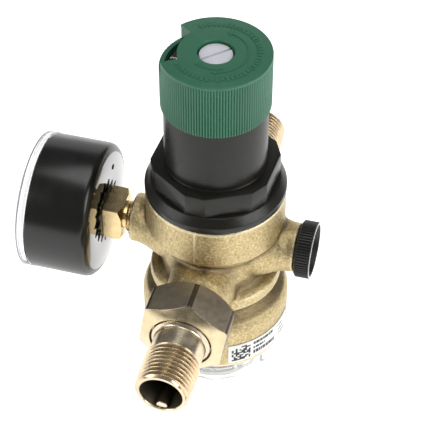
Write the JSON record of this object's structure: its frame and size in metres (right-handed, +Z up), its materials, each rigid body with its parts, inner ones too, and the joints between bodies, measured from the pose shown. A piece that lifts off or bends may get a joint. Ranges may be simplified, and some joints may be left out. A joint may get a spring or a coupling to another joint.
{
  "type": "pressure reducing valve",
  "caption": "Diaphragm pressure reducing valve for water pipe, with ribbed setting knob, clear sieve bowl, union tails and a side pressure gauge.",
  "frame": {"origin": "centre of the flat base of the sieve bowl, on the valve's vertical axis", "axes": "+Z up along the valve axis towards the knob; the pipe runs along Y with the inlet at -Y and the outlet at +Y; the gauge points to -X"},
  "size_m": [0.1131, 0.152, 0.1592],
  "materials": {
    "cast_brass": "sand-cast, lightly blasted",
    "turned_brass": "machined",
    "bourdon_brass": "drawn tube",
    "nut_brass": "forged flats with machined faces",
    "thread_brass": "machined",
    "grey_plastic": "moulded glass-filled",
    "green_plastic": "moulded satin",
    "black_plastic": "moulded",
    "gauge_enamel": "gloss black",
    "pointer_black": "matte black",
    "washer_black": "black zinc",
    "clear_plastic": "clear moulded",
    "zinc_steel": "zinc plated",
    "stainless_steel": "plain",
    "spring_steel": "drawn wire",
    "rubber": "moulded",
    "fibre": "pressed fibre",
    "white_plastic": "moulded",
    "dial_enamel": "white enamel",
    "label_film": "printed film"
  },
  "bodies": {
    "valve_body": {"housing": "cast_brass", "bonnet": "grey_plastic", "setting_scale": "black_plastic", "adjustment_spring": "spring_steel", "diaphragm": "rubber", "slip_ring": "white_plastic", "valve_insert": "black_plastic", "insert_oring": "rubber", "sieve_frame": "white_plastic", "sieve_mesh": "stainless_steel", "sieve_bowl": "clear_plastic", "bowl_oring": "rubber", "label": "label_film", "union_tail_front": "thread_brass", "union_gasket_front": "fibre", "union_tail_rear": "thread_brass", "union_gasket_rear": "fibre", "gauge_case": "gauge_enamel", "gauge_window": "clear_plastic", "gauge_dial": "dial_enamel", "gauge_movement_plates": "turned_brass", "gauge_bourdon_tube": "bourdon_brass", "gauge_socket": "turned_brass", "gauge_star_washer": "washer_black", "gauge_seal": "rubber", "blanking_plug": "black_plastic", "plug_oring": "rubber"},
    "knob_body": {"knob": "green_plastic", "adjusting_spindle": "turned_brass"},
    "lock_screw_body": {"lock_screw": "zinc_steel"},
    "spring_plate_body": {"spring_plate": "turned_brass"},
    "stem_body": {"valve_stem": "stainless_steel", "valve_disc": "turned_brass", "disc_seal": "rubber", "diaphragm_plate": "turned_brass", "stem_nut": "turned_brass"},
    "front_nut_body": {"union_nut_front": "nut_brass"},
    "rear_nut_body": {"union_nut_rear": "nut_brass"},
    "pointer_body": {"gauge_pointer": "pointer_black", "gauge_pinion_shaft": "turned_brass"},
    "sector_body": {"gauge_sector": "turned_brass"},
    "link_body": {"gauge_link": "turned_brass"}
  },
  "joints": [
    {"name": "knob_turn", "type": "hinge", "parent": "valve_body", "child": "knob_body", "pos_m": [0, 0, 0.15], "axis": [0, 0, 1], "range_deg": [-301, 0]},
    {"name": "lock_screw_turn", "type": "hinge", "parent": "knob_body", "child": "lock_screw_body", "pos_m": [0, 0, 0.157], "axis": [0, 0, 1], "range_deg": [0, 180]},
    {"name": "spring_plate_slide", "type": "slide", "parent": "valve_body", "child": "spring_plate_body", "axis": [0, 0, 1], "range_m": [-0.0055, 0], "deforming": ["adjustment_spring"]},
    {"name": "stem_slide", "type": "slide", "parent": "valve_body", "child": "stem_body", "axis": [0, 0, 1], "range_m": [0, 0.0025], "stiffness_N_per_m": 1500, "springref_m": -0.001, "deforming": ["diaphragm"]},
    {"name": "front_nut_turn", "type": "hinge", "parent": "valve_body", "child": "front_nut_body", "pos_m": [0, -0.042, 0.06], "axis": [0, -1, 0], "continuous": true},
    {"name": "rear_nut_turn", "type": "hinge", "parent": "valve_body", "child": "rear_nut_body", "pos_m": [0, 0.042, 0.06], "axis": [0, 1, 0], "continuous": true},
    {"name": "pointer_turn", "type": "hinge", "parent": "valve_body", "child": "pointer_body", "pos_m": [-0.06, 0, 0.0699], "axis": [1, 0, 0], "range_deg": [0, 270], "stiffness_Nm_per_rad": 0.0005, "springref_deg": -17.19},
    {"name": "sector_turn", "type": "hinge", "parent": "valve_body", "child": "sector_body", "pos_m": [-0.0575, 0, 0.0519], "axis": [1, 0, 0], "range_deg": [-54.5, 0.5]},
    {"name": "link_turn", "type": "hinge", "parent": "sector_body", "child": "link_body", "pos_m": [-0.057, -0.00445, 0.04963], "axis": [1, 0, 0], "range_deg": [-0.5, 54.5]}
  ],
  "couplings": [
    {"joint": "knob_turn", "follows": "spring_plate_slide", "rad_per_m": 952},
    {"joint": "sector_turn", "follows": "pointer_turn", "ratio": -0.2},
    {"joint": "link_turn", "follows": "pointer_turn", "ratio": 0.2}
  ]
}
